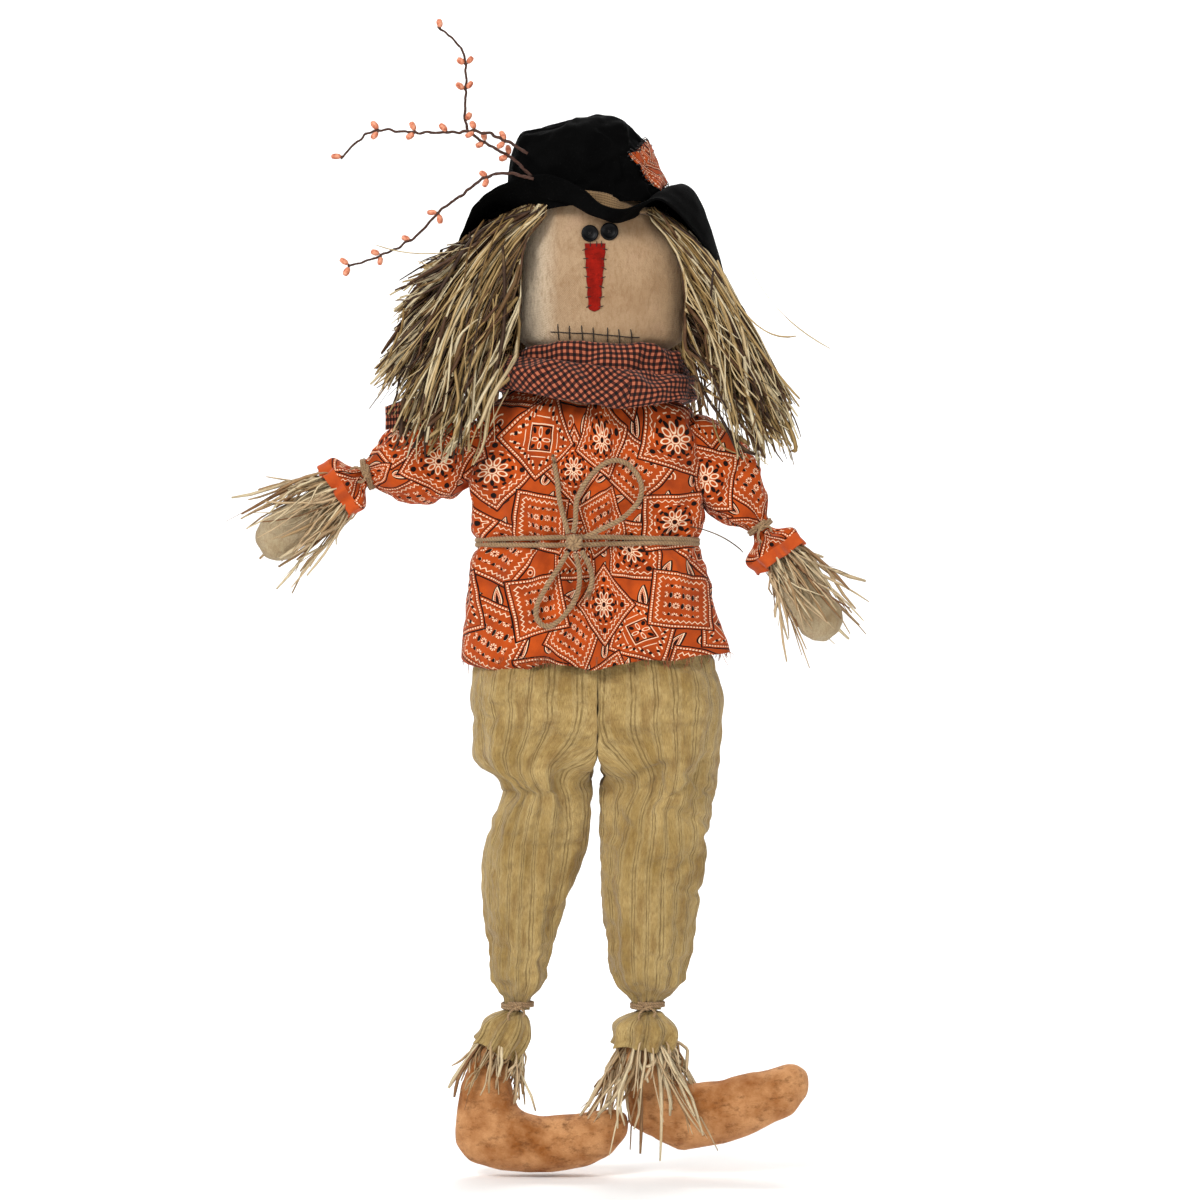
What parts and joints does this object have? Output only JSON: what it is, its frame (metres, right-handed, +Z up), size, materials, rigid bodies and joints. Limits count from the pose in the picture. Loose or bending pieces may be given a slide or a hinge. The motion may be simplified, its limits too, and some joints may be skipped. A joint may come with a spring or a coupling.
{
  "type": "scarecrow figure",
  "caption": "Hanging stuffed cloth scarecrow with a floppy hat, straw hair, bandana-print shirt, rope belt and striped trousers; arms, legs, hands and boots move.",
  "frame": {"origin": "inside top of the jute hanging loop at the back of the hat, where a hook or nail bears", "axes": "+Z up along the figure, +Y towards the wall behind it, so the figure faces -Y; +X towards the figure's own left"},
  "size_m": [0.6244, 0.215, 1.1451],
  "materials": {
    "muslin": "tea-stained plain-weave cotton, mottled",
    "button": "black moulded button",
    "felt": "red wool felt",
    "thread": "black cotton thread",
    "hat_cloth": "black plain-weave cotton",
    "stuffing": "white polyester stuffing in plain cloth",
    "burlap": "natural burlap strip",
    "print_cloth": "orange cotton with a white and black bandana-style print",
    "twig": "dark paper-wrapped wire with foam berries",
    "jute": "twisted jute twine",
    "straw": "dried raffia straw",
    "gingham": "small black and salmon woven check",
    "trouser_cloth": "khaki cotton with thin woven stripes",
    "boot_cloth": "dyed plain-weave cotton, mottled",
    "wire": "bare steel wire"
  },
  "bodies": {
    "head": {"head": "muslin", "eye_button_right": "button", "eye_button_left": "button", "nose": "felt", "nose_stitches": "thread", "mouth_stitches": "thread", "hat_crown": "hat_cloth", "hat_stuffing": "stuffing", "hat_brim": "hat_cloth", "hat_band": "burlap", "hat_patch": "print_cloth", "hat_patch_stitches": "thread", "twig_upper": "twig", "twig_middle": "twig", "twig_lower": "twig", "hanging_loop": "jute", "loop_tab": "hat_cloth", "hair_right": "straw", "hair_left": "straw", "hair_back": "straw"},
    "torso": {"torso": "stuffing", "neck": "muslin", "shirt_body": "print_cloth", "scarf_roll": "gingham", "scarf_drape": "gingham", "scarf_tail": "gingham", "belt_cord": "jute", "belt_knot": "jute", "bow_loop_upper": "jute", "bow_tail_upper": "jute", "bow_loop_lower": "jute", "bow_tail_lower": "jute", "trousers_seat": "trouser_cloth"},
    "right_arm": {"right_sleeve": "print_cloth", "right_arm": "stuffing", "right_arm_wire": "wire", "right_wrist_tie": "jute"},
    "right_hand": {"right_hand": "muslin", "right_cuff": "print_cloth", "right_wrist_straw": "straw"},
    "left_arm": {"left_sleeve": "print_cloth", "left_arm": "stuffing", "left_arm_wire": "wire", "left_wrist_tie": "jute"},
    "left_hand": {"left_hand": "muslin", "left_cuff": "print_cloth", "left_wrist_straw": "straw"},
    "right_leg": {"right_trouser_leg": "trouser_cloth", "right_leg": "stuffing", "right_ankle_tie": "jute"},
    "right_foot": {"right_boot": "boot_cloth", "right_trouser_cuff": "trouser_cloth", "right_ankle_straw": "straw"},
    "left_leg": {"left_trouser_leg": "trouser_cloth", "left_leg": "stuffing", "left_ankle_tie": "jute"},
    "left_foot": {"left_boot": "boot_cloth", "left_trouser_cuff": "trouser_cloth", "left_ankle_straw": "straw"}
  },
  "joints": [
    {"name": "neck", "type": "hinge", "parent": "head", "child": "torso", "pos_m": [-0.004, -0.074, -0.239], "axis": [1, 0, 0], "range_deg": [-6, 6]},
    {"name": "right_shoulder", "type": "hinge", "parent": "torso", "child": "right_arm", "pos_m": [-0.127, -0.074, -0.318], "axis": [0, 1, 0], "range_deg": [-44, 15]},
    {"name": "left_shoulder", "type": "hinge", "parent": "torso", "child": "left_arm", "pos_m": [0.105, -0.074, -0.312], "axis": [0, -1, 0], "range_deg": [-10, 44]},
    {"name": "right_wrist", "type": "hinge", "parent": "right_arm", "child": "right_hand", "pos_m": [-0.23054, -0.074, -0.34497], "axis": [0, 1, 0], "range_deg": [-15, 30]},
    {"name": "left_wrist", "type": "hinge", "parent": "left_arm", "child": "left_hand", "pos_m": [0.16668, -0.074, -0.39943], "axis": [0, -1, 0], "range_deg": [-10, 30]},
    {"name": "right_hip", "type": "hinge", "parent": "torso", "child": "right_leg", "pos_m": [-0.055, -0.074, -0.662], "axis": [-1, 0, 0], "range_deg": [-20, 90]},
    {"name": "left_hip", "type": "hinge", "parent": "torso", "child": "left_leg", "pos_m": [0.06, -0.074, -0.662], "axis": [-1, 0, 0], "range_deg": [-20, 90]},
    {"name": "right_ankle", "type": "hinge", "parent": "right_leg", "child": "right_foot", "pos_m": [-0.0775, -0.074, -0.877], "axis": [0, 0, -1], "range_deg": [-10, 100]},
    {"name": "left_ankle", "type": "hinge", "parent": "left_leg", "child": "left_foot", "pos_m": [0.0525, -0.074, -0.877], "axis": [0, 0, -1], "range_deg": [-10, 90]}
  ]
}
